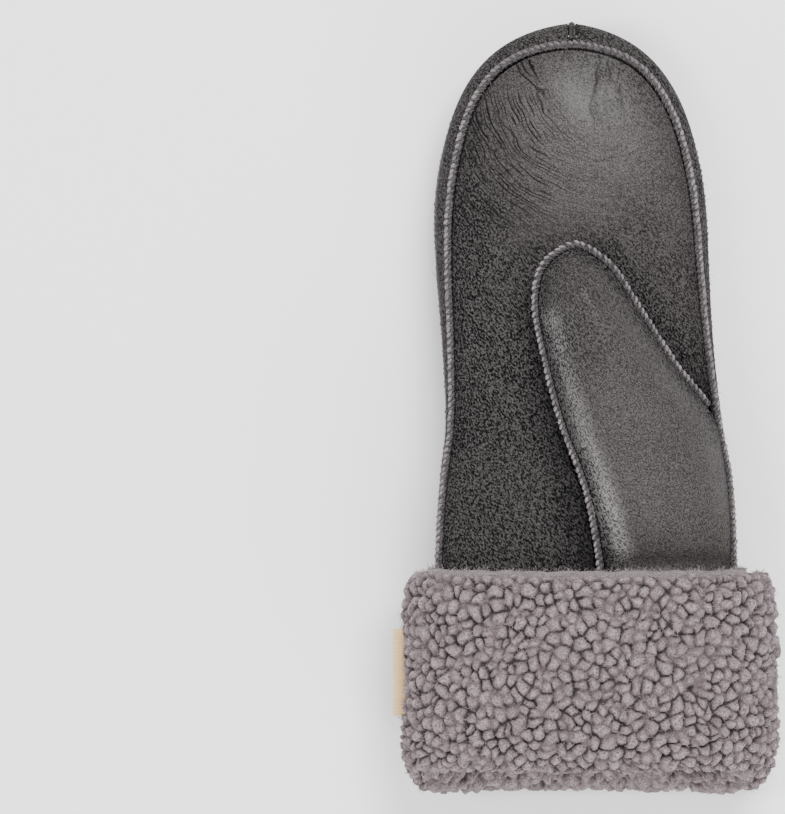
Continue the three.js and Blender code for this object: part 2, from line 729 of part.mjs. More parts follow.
const mitten = new THREE.Group();
function addPiece(name, geometry, look) {
  const mesh = new THREE.Mesh(geometry, new THREE.MeshStandardMaterial(look));
  mesh.name = name;
  mitten.add(mesh);
}
const tipColumn = bodyColumns;
const bandEnd = weltClear / outline[1].distanceTo(outline[0]);
const outerColumns = [...range(0, tipColumn - 1), tipColumn - bandEnd];
const thumbSideColumns = [tipColumn + bandEnd, ...range(tipColumn + 1, 2 * bodyColumns)];
const middle = handMiddle();
const palm = panel({ seam: palmLine, welts: [palmSeam], middle, height: topHeight, side: 1 });
const back = panel({ seam: backLine, welts: [backSeam], middle, height: underHeight, side: -1 });
function tipSeamPoints() {
  const walk = bandWalk(bandSection(tipColumn), 2 * weltRadius + gap + weltEase);
  return range(0, tipSteps).map((step) => {
    return walk(step / tipSteps).addScaledVector(lift(inward[tipColumn], 0), tipSeamSink);
  });
}

addPiece('back_panel', back, leatherLook);
addPiece('side_band_outer', sideBand(outerColumns), leatherLook);
addPiece('side_band_thumb', sideBand(thumbSideColumns), leatherLook);
addPiece('palm_panel', palmWithThumbHole(palm), leatherLook);
addPiece('thumb_front', thumbFront(), leatherLook);
addPiece('thumb_back', thumbBack(), leatherLook);
addPiece('back_seam', welt(backSeam), seamLook);
addPiece('palm_seam', welt(palmSeam), seamLook);
addPiece('thumb_seam', welt(thumbSeam), seamLook);
addPiece('tip_seam', welt(tipSeamPoints()), seamLook);
addPiece('cuff_skin', cuffSkinRing(), cutEdgeLook);
addPiece('cuff_fleece', cuffFleece(), fleeceLook);
addPiece('label', labelPlate(0), labelLook);

// The origin goes to the middle of the box, on the surface
const box = new THREE.Box3().setFromObject(mitten);
const centre = box.getCenter(new THREE.Vector3());
mitten.position.set(-centre.x, -centre.y, -box.min.z);

export default mitten;
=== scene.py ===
"""A lined leather mitten with a turned-back fleece cuff, dressed around its fixed frame."""
import math
import random

import bmesh
import bpy
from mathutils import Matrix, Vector, kdtree, noise


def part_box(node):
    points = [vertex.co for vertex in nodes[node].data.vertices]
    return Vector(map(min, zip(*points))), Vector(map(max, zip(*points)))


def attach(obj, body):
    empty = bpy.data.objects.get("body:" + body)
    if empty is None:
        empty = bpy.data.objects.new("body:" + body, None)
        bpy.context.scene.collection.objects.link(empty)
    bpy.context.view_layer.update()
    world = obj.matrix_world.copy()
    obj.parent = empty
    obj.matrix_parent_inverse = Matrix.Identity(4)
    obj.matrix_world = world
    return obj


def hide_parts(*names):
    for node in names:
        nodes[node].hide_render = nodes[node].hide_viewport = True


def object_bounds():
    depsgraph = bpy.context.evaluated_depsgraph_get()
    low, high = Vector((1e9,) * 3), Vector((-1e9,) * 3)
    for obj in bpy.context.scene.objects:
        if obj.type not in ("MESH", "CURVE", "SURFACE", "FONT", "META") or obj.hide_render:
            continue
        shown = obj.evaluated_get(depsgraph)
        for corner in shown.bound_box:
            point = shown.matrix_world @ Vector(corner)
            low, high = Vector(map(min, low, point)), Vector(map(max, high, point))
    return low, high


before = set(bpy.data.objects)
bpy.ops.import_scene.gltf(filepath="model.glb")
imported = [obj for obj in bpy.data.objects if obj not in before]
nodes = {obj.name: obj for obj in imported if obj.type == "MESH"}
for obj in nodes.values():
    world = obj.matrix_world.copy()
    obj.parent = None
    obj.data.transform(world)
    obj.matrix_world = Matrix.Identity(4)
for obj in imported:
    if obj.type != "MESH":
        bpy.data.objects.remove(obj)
cad_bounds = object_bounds()
MM = 0.001


def corners(node):
    """The low and the high corner of a piece's box."""
    low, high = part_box(node)
    return Vector(low), Vector(high)


# Node building
class Value:
    """A socket of a node tree, with arithmetic that adds the nodes it needs."""

    def __init__(self, finish, socket):
        self.finish = finish
        self.socket = socket

    def math(self, operation, *others):
        inputs = dict(enumerate([self, *others]))
        return self.finish.node("Math", inputs, operation=operation)

    def __add__(self, other):
        return self.math("ADD", other)

    def __mul__(self, other):
        return self.math("MULTIPLY", other)

    def __sub__(self, other):
        return self.math("SUBTRACT", other)

    def __rsub__(self, other):
        return self.finish.node("Math", {0: other, 1: self}, operation="SUBTRACT")

    __radd__ = __add__
    __rmul__ = __mul__

    def most(self, other):
        return self.math("MAXIMUM", other)

    def output(self, name):
        """Another output of the same node."""
        return Value(self.finish, self.socket.node.outputs[name])

    def ramp(self, low, high, start=0.0, end=1.0):
        """A smooth step from start to end as the value goes from low to high."""
        inputs = {"Value": self, "From Min": low, "From Max": high, "To Min": start, "To Max": end}
        return self.finish.node("MapRange", inputs, interpolation_type="SMOOTHSTEP")


class Finish:
    """A material built from nodes around one Principled shader."""

    def __init__(self, name, **constants):
        self.material = bpy.data.materials.new(name)
        self.material.use_nodes = True
        self.tree = self.material.node_tree
        self.tree.nodes.clear()
        self.shader = self.tree.nodes.new("ShaderNodeBsdfPrincipled")
        output = self.tree.nodes.new("ShaderNodeOutputMaterial")
        self.tree.links.new(self.shader.outputs["BSDF"], output.inputs["Surface"])
        for socket, value in constants.items():
            self.shader.inputs[socket.replace("_", " ")].default_value = value

    def node(self, kind, inputs=None, output=0, **settings):
        """One of the nodes, with its inputs fed and one of its outputs given back."""
        made = self.tree.nodes.new("ShaderNode" + kind)
        for key, setting in settings.items():
            setattr(made, key, setting)
        for key, value in (inputs or {}).items():
            self.feed(made.inputs[key], value)
        return Value(self, made.outputs[output])

    def feed(self, socket, value):
        if isinstance(value, Value):
            self.tree.links.new(value.socket, socket)
        else:
            socket.default_value = value

    def vector(self, operation, *values, output=0):
        return self.node("VectorMath", dict(enumerate(values)), output=output, operation=operation)

    def grain(self, where, size, detail=2.0, rough=0.5):
        """Noise with spots of about the given size in millimetres."""
        inputs = {"Vector": where, "Scale": 1.0 / (size * MM), "Detail": detail, "Roughness": rough}
        return self.node("TexNoise", inputs)

    def cells(self, where, size):
        """Distance within cells of the given size in millimetres, in shares of that size."""
        inputs = {"Vector": where, "Scale": 1.0 / (size * MM)}
        return self.node("TexVoronoi", inputs, output="Distance")

    def warped(self, where, size, reach):
        """The place moved about by noise of a size, as far as reach, both in millimetres."""
        inputs = {"Vector": where, "Scale": 1.0 / (size * MM), "Detail": 1.0}
        push = self.node("TexNoise", inputs, output="Color")
        centred = self.vector("SUBTRACT", push, (0.5, 0.5, 0.5))
        spread = 2.0 * reach * MM
        return self.vector("MULTIPLY_ADD", centred, (spread, spread, spread), where)

    def place(self, turn=0.0, stretch=(1.0, 1.0, 1.0)):
        """Object coordinates, stretched along axes that are turned about Z in degrees."""
        where = self.node("TexCoord", output="Object")
        inputs = {"Vector": where, "Rotation": (0.0, 0.0, math.radians(turn)), "Scale": stretch}
        return self.node("Mapping", inputs, vector_type="TEXTURE")

    def attribute(self, name):
        return self.node("Attribute", output="Fac", attribute_name=name)

    def blend(self, factor, first, second):
        """Two colours mixed by a factor."""
        return self.node("Mix", {0: factor, 6: first, 7: second}, output=2, data_type="RGBA")

    def bump(self, height, strength, distance):
        return self.node("Bump", {"Height": height, "Strength": strength, "Distance": distance * MM})

    def show(self, **sockets):
        """The finished material, with values fed to its shader."""
        for name, value in sockets.items():
            self.feed(self.shader.inputs[name.replace("_", " ")], value)
        return self.material


def tone(red, green, blue):
    """A colour from its display values, 0 to 255."""
    def linear(channel):
        share = channel / 255
        return share / 12.92 if share <= 0.04045 else ((share + 0.055) / 1.055) ** 2.4
    return (linear(red), linear(green), linear(blue), 1.0)


# Leather
seam_low, seam_high = corners("palm_seam")
HAND_WIDTH = seam_high.x - seam_low.x
TIP = seam_high.y

# The wrinkles of the palm run around this place
FOLD_CENTRE = (0.063 * HAND_WIDTH, TIP - 13 * MM, 30 * MM)

# Sizes in the leather's grain, in millimetres, and how dark the painted shade in the wrinkles is
WRINKLE_PITCH = 1.35
WRINKLE_DRIFT = 4.5
WRINKLE_SPOKES = 8.0
WRINKLE_DARKNESS = 0.64
PORE_LENGTHENING = 2.5
PORE_TURN = 35.0
PORE = 0.60
FLECK = 0.60
FINE_FLECK = 0.44
PATCH = 7.0

# How far from a crease's middle its dark line of painted shade starts and ends to fade
LINE_CORE = 0.10 * MM
LINE_EDGE = 0.55 * MM

# Tones of the leather: the dull and the bright tone are partly painted shade and painted sheen, the
# pit tone is painted shade in pores and creases, and the highlight is a painted highlight
PIT_SHADE = tone(4, 4, 4)
DEEP_SHADE = tone(3, 3, 3)
DULL_AND_SHADED = (tone(16, 15, 15), tone(66, 63, 63))
SHEEN_BRIGHT = (tone(35, 32, 32), tone(84, 80, 79))
HIGHLIGHT = tone(110, 107, 107)

# Creases of the palm: from and to as shares of the hand's width and millimetres below the tip
CREASES = (
    {"from": (-0.240, 8.0), "to": (-0.117, 23.0), "deep": 0.42, "dark": 0.85},
    {"from": (-0.225, 6.5), "to": (-0.175, 13.0), "deep": 0.25, "dark": 0.80},
    {"from": (-0.190, 7.0), "to": (-0.155, 15.0), "deep": 0.34, "dark": 0.90},
    {"from": (0.040, 8.0), "to": (0.006, 20.0), "deep": 0.32, "dark": 0.60},
    {"from": (0.006, 20.0), "to": (0.023, 33.0), "deep": 0.20, "dark": 0.45},
    {"from": (0.066, 7.0), "to": (0.064, 15.0), "deep": 0.26, "dark": 0.60},
    {"from": (0.104, 15.0), "to": (0.122, 31.0), "deep": 0.22, "dark": 0.45},
    {"from": (-0.263, 19.0), "to": (-0.175, 38.0), "deep": 0.26, "dark": 0.65},
    {"from": (-0.300, 24.0), "to": (-0.200, 46.0), "deep": 0.24, "dark": 0.55},
)


def hand_place(across, below):
    """A place seen from above, as a share of the hand's width and millimetres below the tip."""
    return Vector((across * HAND_WIDTH, TIP - below * MM))


def crease_line(finish, where, crease):
    """A thin dark line of painted shade along one crease of the palm."""
    start = hand_place(*crease["from"]).to_3d()
    along = hand_place(*crease["to"]).to_3d() - start
    offset = finish.vector("MULTIPLY", finish.vector("SUBTRACT", where, start), (1.0, 1.0, 0.0))
    share = finish.vector("DOT_PRODUCT", offset, along / along.length_squared, output="Value")
    share = share.most(0.0).math("MINIMUM", 1.0)
    nearest = finish.node("VectorMath", {0: along, "Scale": share}, operation="SCALE")
    away = finish.vector("DISTANCE", offset, nearest, output="Value")
    return away.ramp(LINE_CORE, LINE_EDGE, 1.0, 0.0) * share.ramp(0.4, 1.0, crease["dark"], 0.2)


def wrinkle_lines(finish, where):
    """Fine wrinkles as lines of painted shade that run around the fold centre, broken up by noise."""
    bent = finish.warped(where, 12.0, 2.0)
    reach = finish.vector("DISTANCE", bent, FOLD_CENTRE, output="Value")
    spoke = finish.node("SeparateXYZ", {0: finish.vector("SUBTRACT", bent, FOLD_CENTRE)})
    angle = spoke.math("ARCTAN2", spoke.output("Y") * -1.0)
    polar = finish.node("CombineXYZ", {0: reach, 1: angle * (WRINKLE_SPOKES * MM), 2: 0.0})
    drift = finish.grain(polar, 5.0, detail=2.0) * (WRINKLE_DRIFT * MM)
    comb = ((reach + drift) * (2 * math.pi / (WRINKLE_PITCH * MM))).math("SINE")
    strong = finish.grain(polar, 2.2, detail=1.0).ramp(0.34, 0.58)
    return comb.ramp(0.20, 1.0) * strong * finish.attribute("folds")


def crease_lines(finish, where):
    """The creases of the palm as dark lines of painted shade that waver a little."""
    wavy = finish.warped(finish.warped(where, 8.0, 2.4), 1.6, 0.5)
    lines = 0.0
    for crease in CREASES:
        lines = crease_line(finish, wavy, crease).most(lines)
    return lines * finish.attribute("creased")


def leather_finish():
    finish = Finish("leather", Specular_IOR_Level=0.06, Coat_Roughness=0.32, Coat_IOR=1.45)
    where = finish.place()
    smooth_and_sheen = finish.attribute("smooth_and_sheen")
    wrinkles = wrinkle_lines(finish, where) * WRINKLE_DARKNESS
    lines = wrinkles.most(crease_lines(finish, where))
    slanted = finish.place(turn=PORE_TURN, stretch=(1.0, PORE_LENGTHENING, 1.0))
    pore = finish.cells(finish.warped(slanted, 1.6, 0.28), PORE)
    fleck = finish.grain(where, FLECK, detail=1.0)
    fine = finish.grain(where, FINE_FLECK, detail=1.0)
    patches = finish.grain(where, PATCH, detail=2.0)
    level = pore + fleck * 0.28 + patches * 0.22 + smooth_and_sheen * 0.08 - 0.25
    # The pores' pits get painted shade
    pits = level.ramp(0.28, 0.60, 1.0, 0.0)
    glow = finish.attribute("glow") * fleck.ramp(0.36, 0.60, 0.3, 1.0)
    shaded_marks = (pits * smooth_and_sheen.ramp(0.0, 0.9, 0.98, 0.24)).most(pits * glow * 0.8).most(lines)
    # Dull to bright with smoothness: partly the leather's own tone, partly painted shade and painted
    # sheen
    dull_and_shaded = finish.blend(fleck.ramp(0.32, 0.68), *DULL_AND_SHADED)
    sheen_bright = finish.blend(fine.ramp(0.30, 0.70), *SHEEN_BRIGHT)
    colour = finish.blend(smooth_and_sheen, dull_and_shaded, sheen_bright)
    colour = finish.blend(glow, colour, HIGHLIGHT)
    # Pits, creases and wrinkles darkened as painted shade
    colour = finish.blend(shaded_marks, colour, PIT_SHADE)
    colour = finish.blend(finish.attribute("shade"), colour, DEEP_SHADE)
    relief = fleck * 0.3 - pits * 0.8 - lines * 1.2
    coat = (1.0 - shaded_marks) * (smooth_and_sheen.math("POWER", 2.0) * 0.32 + glow * 0.70 + 0.03)
    return finish.show(Base_Color=colour, Roughness=0.6 + shaded_marks * 0.35, Coat_Weight=coat,
                       Normal=finish.bump(relief, 0.75, 0.16))


# The other finishes: the low and the high tone of each
PILE_LINING = (tone(84, 76, 77), tone(140, 130, 131))
BEADS = (tone(72, 66, 69), tone(138, 130, 134))
# The overcast thread is a darker copy of the bead thread, as painted shade
SHADED_THREAD = (tone(52, 48, 50), tone(108, 102, 104))
EDGES = (tone(12, 11, 11), tone(62, 57, 59))
NAP = (tone(86, 79, 80), tone(124, 115, 117))
WEAVE = (tone(190, 154, 106), tone(240, 206, 160))
WISPS = (tone(80, 70, 72), tone(146, 132, 134))
HAIRS = (tone(104, 92, 94), tone(148, 134, 136))
PALE_CURL = tone(152, 138, 140)
DARK_CLUMP = tone(88, 77, 79)
CLUMP_SIDE_SHADE = tone(64, 54, 56)
CRACK_SHADE = tone(28, 22, 24)

# How closely the tape's threads lie, across and along
TAPE_ACROSS = 520.0
TAPE_ALONG = 420.0


def lining_finish():
    finish = Finish("lining", Sheen_Weight=0.2)
    curl = finish.grain(finish.place(), 1.6, detail=4.0, rough=0.6)
    colour = finish.blend(curl.ramp(0.3, 0.7), *PILE_LINING)
    return finish.show(Base_Color=colour, Roughness=0.95, Normal=finish.bump(curl, 1.0, 1.6))


def thread_finish(name, low, high):
    """Thread that is darker in broad spots and around the fingertip."""
    finish = Finish(name, Sheen_Weight=0.1)
    strand = finish.grain(finish.place(), 0.3, detail=2.0)
    broad = finish.grain(finish.place(), 5.0)
    forward = finish.node("SeparateXYZ", {0: finish.place()}, output="Y")
    near_tip = forward.ramp(TIP - 18 * MM, TIP - 6 * MM)
    colour = finish.blend(strand.ramp(0.3, 0.7), low, high)
    colour = finish.blend((broad.ramp(0.42, 0.70) * 0.7).most(near_tip * 0.75), colour, low)
    return finish.show(Base_Color=colour, Roughness=0.85, Normal=finish.bump(strand, 0.5, 0.1))


def edge_finish():
    finish = Finish("leather_edge")
    grain = finish.grain(finish.place(), 0.8, detail=2.0)
    colour = finish.blend(grain.ramp(0.35, 0.65), *EDGES)
    return finish.show(Base_Color=colour, Roughness=0.85, Normal=finish.bump(grain, 0.6, 0.2))


def suede_finish():
    finish = Finish("cut_edge", Sheen_Weight=0.2)
    nap = finish.grain(finish.place(), 0.5, detail=3.0)
    colour = finish.blend(nap.ramp(0.3, 0.7), *NAP)
    return finish.show(Base_Color=colour, Roughness=0.95, Normal=finish.bump(nap, 0.6, 0.25))


def tape_finish():
    finish = Finish("label_tape", Sheen_Weight=0.1)
    where = finish.place()
    across = finish.node("TexWave", {"Vector": where, "Scale": TAPE_ACROSS}, bands_direction="Y")
    along = finish.node("TexWave", {"Vector": where, "Scale": TAPE_ALONG}, bands_direction="X")
    weave = across * 0.6 + along * 0.4
    colour = finish.blend(weave, *WEAVE)
    return finish.show(Base_Color=colour, Roughness=0.85, Normal=finish.bump(weave, 0.5, 0.2))


def fleece_finish():
    finish = Finish("fleece", Sheen_Weight=0.12, Sheen_Roughness=0.6, Specular_IOR_Level=0.15)
    where = finish.place()
    curl = finish.grain(where, 1.4, detail=3.0, rough=0.7)
    wisp = finish.grain(where, 0.65, detail=2.0)
    light = finish.blend(wisp.ramp(0.34, 0.66), *WISPS)
    light = finish.blend(curl.ramp(0.38, 0.70) * 0.4, light, PALE_CURL)
    light = finish.blend(finish.attribute("darker") * 0.35, light, DARK_CLUMP)
    # The sides of the clumps darkened as painted shade
    colour = finish.blend(finish.attribute("clump_side_shade") * 0.62, light, CLUMP_SIDE_SHADE)
    # Dark cracks between the clumps, as painted shade
    crack_shade = (finish.attribute("crack_shade") + curl * 0.4 + wisp * 0.3 - 0.35).ramp(0.15, 0.85)
    colour = finish.blend(crack_shade * 0.78, colour, CRACK_SHADE)
    relief = curl * 0.4 + wisp * 0.6
    return finish.show(Base_Color=colour, Roughness=0.95, Normal=finish.bump(relief, 0.9, 0.5))


def wool_finish():
    """Single wool hairs that stand out of the pile."""
    finish = Finish("wool", Sheen_Weight=0.1, Specular_IOR_Level=0.2)
    broad = finish.grain(finish.place(), 3.0)
    colour = finish.blend(broad.ramp(0.35, 0.65), *HAIRS)
    return finish.show(Base_Color=colour, Roughness=0.9)


LEATHER = leather_finish()
LINING = lining_finish()
THREAD = thread_finish("seam_thread", *BEADS)
SHADED_THIN_THREAD = thread_finish("seam_thread_shaded", *SHADED_THREAD)
EDGE = edge_finish()
FLEECE = fleece_finish()
WOOL = wool_finish()
SUEDE = suede_finish()
TAPE = tape_finish()


# Meshes
SAME_PLACE = 0.001 * MM
PAIRING_ANGLE = math.radians(60)
SHARP_ANGLE = math.radians(50)


def merged_copy(node, paired=True):
    """A copy of a solid's mesh with its doubles merged, and its triangles paired where asked."""
    work = bmesh.new()
    work.from_mesh(nodes[node].data)
    bmesh.ops.remove_doubles(work, verts=work.verts, dist=SAME_PLACE)
    if paired:
        bmesh.ops.join_triangles(work, faces=work.faces, angle_face_threshold=PAIRING_ANGLE,
                                 angle_shape_threshold=PAIRING_ANGLE)
    return work


def sharpen(work):
    """Keep the sharp edges crisp when the mesh is subdivided."""
    crease = work.edges.layers.float.new("crease_edge")
    for edge in work.edges:
        if len(edge.link_faces) == 2 and edge.calc_face_angle() > SHARP_ANGLE:
            edge[crease] = 1.0


def to_object(work, name, *finishes):
    mesh = bpy.data.meshes.new(name)
    piece = bpy.data.objects.new(name, mesh)
    bpy.context.collection.objects.link(piece)
    for finish in finishes:
        mesh.materials.append(finish)
    pour(work, piece)
    return piece


def pour(work, piece):
    """Write a worked mesh into its piece, smooth all over."""
    work.to_mesh(piece.data)
    work.free()
    for face in piece.data.polygons:
        face.use_smooth = True


def evaluated_mesh(piece):
    """A piece's mesh as its modifiers or its curve make it."""
    graph = bpy.context.evaluated_depsgraph_get()
    return bpy.data.meshes.new_from_object(piece.evaluated_get(graph))


def bake(piece):
    """Apply a piece's modifiers and hand its mesh back for shaping."""
    shaped = evaluated_mesh(piece)
    piece.modifiers.clear()
    piece.data = shaped
    work = bmesh.new()
    work.from_mesh(shaped)
    return work


def refined(piece, levels):
    modifier = piece.modifiers.new("refine", "SUBSURF")
    modifier.levels = levels
    modifier.render_levels = levels
    return bake(piece)


def settle(piece, slot, *replaced):
    """Tie a finished piece to the frame."""
    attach(piece, "root")
    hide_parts(*replaced)


# Seam lines: the step along them, a welt's radius, and what finds the ring at a welt's end
SEAM_STEP = 0.5 * MM
WELT = 1.27 * MM
CAP_FLATNESS = 0.02 * MM
CAP_REACH = 3 * MM
CURVE_SPLITS = 8


def centre_line(node):
    """The middle line of a welt, from the rings of its solid."""
    work = merged_copy(node, paired=False)
    cap = min(work.faces, key=lambda face: face.calc_center_median().y)
    plane = cap.calc_center_median()
    normal = cap.normal.copy()
    ring = [vert for vert in work.verts
            if abs((vert.co - plane).dot(normal)) < CAP_FLATNESS
            and (vert.co - plane).length < CAP_REACH]
    seen = set(ring)
    line = []
    while ring:
        line.append(sum((vert.co for vert in ring), Vector()) / len(ring))
        following = {edge.other_vert(vert) for vert in ring for edge in vert.link_edges} - seen
        seen |= following
        ring = [vert for vert in work.verts if vert in following]
    work.free()
    return line


def spread(line, step):
    """Points at an even step along a smooth line through the given points."""
    fine = []
    for index in range(len(line) - 1):
        before = line[max(index - 1, 0)]
        start, end = line[index], line[index + 1]
        after = line[min(index + 2, len(line) - 1)]
        clump_side_shade = end - before
        bend = 2 * before - 5 * start + 4 * end - after
        twist = 3 * start - before - 3 * end + after
        for part in range(CURVE_SPLITS):
            t = part / CURVE_SPLITS
            fine.append(0.5 * (2 * start + clump_side_shade * t + bend * t * t + twist * t ** 3))
    fine.append(line[-1])
    even = [fine[0]]
    left = step
    for start, end in zip(fine, fine[1:]):
        length = (end - start).length
        while left <= length:
            even.append(start.lerp(end, left / length))
            left += step
        left -= length
    return even


seam_lines = {node: spread(centre_line(node), SEAM_STEP)
              for node in ("palm_seam", "back_seam", "thumb_seam", "tip_seam")}


def tree_of(places):
    tree = kdtree.KDTree(len(places))
    for index, place in enumerate(places):
        tree.insert(place, index)
    tree.balance()
    return tree


seam_trees = {node: tree_of(line) for node, line in seam_lines.items()}


# Leather panels
def bell(distance, reach):
    return math.exp(-(distance / reach) ** 2)


def smooth_step(value, low, high):
    share = min(max((value - low) / (high - low), 0.0), 1.0)
    return share * share * (3 - 2 * share)


def away_from(place, start, end):
    """Distance seen from above from a place to a straight stretch, and how far along it that is."""
    along = end - start
    offset = place.xy - start
    share = min(max(offset.dot(along) / along.length_squared, 0.0), 1.0)
    return (offset - along * share).length, share


def crease_depth(place):
    """How deep the palm's creases are at a place, in metres."""
    depth = 0.0
    wobble = noise.noise(place * 140) * 0.6 * MM
    for crease in CREASES:
        away, share = away_from(place, hand_place(*crease["from"]), hand_place(*crease["to"]))
        depth += crease["deep"] * MM * smooth_step(share, 1.0, 0.4) * bell(away + wobble, CREASE_REACH)
    return depth


# Where the leather is smoother and lighter, and where it is rougher and darker, than the rest: partly
# its own wear, partly painted sheen and painted shade from how it faces the lamps.
# Places are shares of the hand's width and millimetres below the tip, reaches are millimetres.
WEAR_AND_SHEEN_PATCHES = {
    "palm_panel": (
        {"at": (-0.04, 36), "reach": (30, 34), "by": 0.75},
        {"at": (-0.22, 22), "reach": (16, 14), "by": 0.30},
        {"at": (-0.10, 78), "reach": (20, 26), "by": 0.30},
        {"at": (-0.42, 90), "reach": (16, 60), "by": -0.20},
        {"at": (0.36, 60), "reach": (18, 60), "by": 0.26},
    ),
    "thumb_front": (
        {"at": (0.10, 120), "reach": (22, 34), "by": 0.22},
        {"at": (0.30, 165), "reach": (24, 34), "by": 0.22},
        {"at": (-0.04, 105), "reach": (12, 20), "by": -0.25},
    ),
    "back_panel": (
        {"at": (0.0, 32), "reach": (28, 36), "by": 0.70},
    ),
}
# The base smoothness of each panel and of the bands, which also sets their painted sheen
PLAIN_SMOOTH_AND_SHEEN = {"palm_panel": 0.15, "thumb_front": 0.50, "back_panel": 0.25}
PLAIN_BAND_SMOOTH_AND_SHEEN = {"middle": 0.10, "tip": 0.18}

# The line along the bulge of the thumb that catches the light
GLOW = (
    (-0.128, 96), (-0.097, 107), (-0.065, 119), (-0.013, 137),
    (0.038, 151), (0.077, 164), (0.108, 176),
)

# How far the rough leather beside the thumb's seam reaches, darkened there partly as painted shade
ROUGH_AND_SHADED_REACH = {"palm_panel": 9 * MM, "thumb_front": 7 * MM}

# How deep the leather dips where the cuff presses on it, and how far along
CUFF_DIP = {"palm_panel": 0.8 * MM, "thumb_front": 1.8 * MM}
CUFF_DIP_REACH = 3.5 * MM

# How wide a crease is, how uneven the leather is, and how far the side bands close at the tip
CREASE_REACH = 1.1 * MM
UNEVEN = 0.25 * MM
BAND_CLOSING = 0.4 * MM

# How far the shade reaches from the root of the thumb and from the outer seam
THUMB_SHADE_REACH = 10 * MM
OUTER_SHADE_REACH = 5 * MM

GLOW_REACH = 3.0 * MM


def smoothness_and_sheen(node, place):
    """How smooth the leather is at a place, from 0 to 1, which also makes it lighter as painted sheen
    and darker as painted shade.
    """
    below = (TIP - place.y) / MM
    near_tip = smooth_step(below, 70, 25)
    band = PLAIN_BAND_SMOOTH_AND_SHEEN["middle"] + (PLAIN_BAND_SMOOTH_AND_SHEEN["tip"] - PLAIN_BAND_SMOOTH_AND_SHEEN["middle"]) * near_tip
    value = PLAIN_SMOOTH_AND_SHEEN.get(node, band)
    for patch in WEAR_AND_SHEEN_PATCHES.get(node, ()):
        offset = (place.xy - hand_place(*patch["at"])) / MM
        wide, long = patch["reach"]
        value += patch["by"] * bell(math.hypot(offset.x / wide, offset.y / long), 1.0)
    value += noise.noise(place * 55) * 0.12
    # Rougher and darker beside the thumb's seam, partly painted shade
    if node in ROUGH_AND_SHADED_REACH:
        value -= 0.55 * bell(seam_trees["thumb_seam"].find(place)[2], ROUGH_AND_SHADED_REACH[node])
    return min(max(value, 0.0), 1.0)


def glow_of(place):
    """How much the bulge of the thumb catches the light at a place."""
    points = [hand_place(*point) for point in GLOW]
    away = min(away_from(place, start, end)[0] for start, end in zip(points, points[1:]))
    below = (TIP - place.y) / MM
    return bell(away, GLOW_REACH) * (0.55 + 0.45 * smooth_step(below, 110, 160))


def shade_of(node, place):
    """How deep in shade the palm is, beside the root of the thumb and along its outer seam."""
    if node != "palm_panel":
        return 0.0
    below = (TIP - place.y) / MM
    thumb = bell(seam_trees["thumb_seam"].find(place)[2], THUMB_SHADE_REACH)
    outer = bell(seam_trees["palm_seam"].find(place)[2], OUTER_SHADE_REACH)
    return 0.72 * thumb * smooth_step(below, 85, 150) + 0.30 * outer * smooth_step(below, 10, 40)


def pucker(place, node, pitch, deep, reach):
    """How far the leather draws in beside a seam."""
    _, index, away = seam_trees[node].find(place)
    travel = index * SEAM_STEP
    wander = noise.noise(Vector((travel * 60, 0, 3))) * 4.5
    wave = math.sin(2 * math.pi * travel / (pitch * MM) + wander)
    strong = 0.5 + 0.5 * noise.noise(Vector((travel * 35, 7, 0)))
    return deep * MM * strong * wave * bell(away, reach * MM)


FACING = {
    "palm_panel": Vector((0, 0, 1)), "thumb_front": Vector((0, 0, 1)),
    "back_panel": Vector((0, 0, -1)), "thumb_back": Vector((0, 0, -1)),
}


def outward(node, centre):
    """The way out of the hand from a place on a panel."""
    if node in FACING:
        return FACING[node]
    axis = Vector((0, min(centre.y, TIP - 45 * MM), centre.z))
    return (centre - axis).normalized()


# The back of the thumb faces the palm, so it needs less detail
LEVELS = {"thumb_back": 2}
FULL_LEVEL = 3

# A face of a panel that looks away from the outside by more than this is on its inside
INSIDE = -0.35


def leather_panel(node):
    """A panel's solid, refined and shaped, with the values that its finish reads at each corner."""
    work = merged_copy(node)
    sharpen(work)
    for face in work.faces:
        inside = face.normal.dot(outward(node, face.calc_center_median())) < INSIDE
        face.material_index = 1 if inside else 0
    piece = to_object(work, node + "_leather", LEATHER, LINING)
    work = refined(piece, LEVELS.get(node, FULL_LEVEL))
    smooth_and_sheen = work.verts.layers.float.new("smooth_and_sheen")
    folds = work.verts.layers.float.new("folds")
    creased = work.verts.layers.float.new("creased")
    shade = work.verts.layers.float.new("shade")
    glow = work.verts.layers.float.new("glow")
    for vert in work.verts:
        place = vert.co.copy()
        vert[smooth_and_sheen] = smoothness_and_sheen(node, place)
        vert[shade] = shade_of(node, place)
        if node in ("side_band_outer", "side_band_thumb"):
            joint, _, away = seam_trees["tip_seam"].find(place)
            closing = BAND_CLOSING * smooth_step(away, 5 * MM, 2.5 * MM)
            vert.co.x += math.copysign(closing, joint.x - place.x)
        if node == "palm_panel":
            across = place.x / HAND_WIDTH
            below = (TIP - place.y) / MM
            left = smooth_step(-across, -0.02, 0.22)
            strength = (left + 0.45) * smooth_step(below, 84, 50)
            from_centre = (place.xy - Vector(FOLD_CENTRE[:2])).length / MM
            vert[folds] = strength * smooth_step(below, 8, 24) * smooth_step(from_centre, 10, 26)
            vert[creased] = smooth_step(below, 58, 48)
            vert.co.z -= crease_depth(place)
            vert.co.z += pucker(place, "palm_seam", 5.0, 0.32, 6.0) * smooth_step(below, 60, 10)
        if node == "thumb_front":
            vert[glow] = glow_of(place)
            vert.co.z += pucker(place, "thumb_seam", 4.5, 0.12, 4.0)
        if node in CUFF_DIP:
            vert.co.z += noise.noise(place * 60) * UNEVEN
            vert.co.z -= CUFF_DIP[node] * bell(place.y - pile_high.y, CUFF_DIP_REACH)
    pour(work, piece)
    settle(piece, "leather", node)


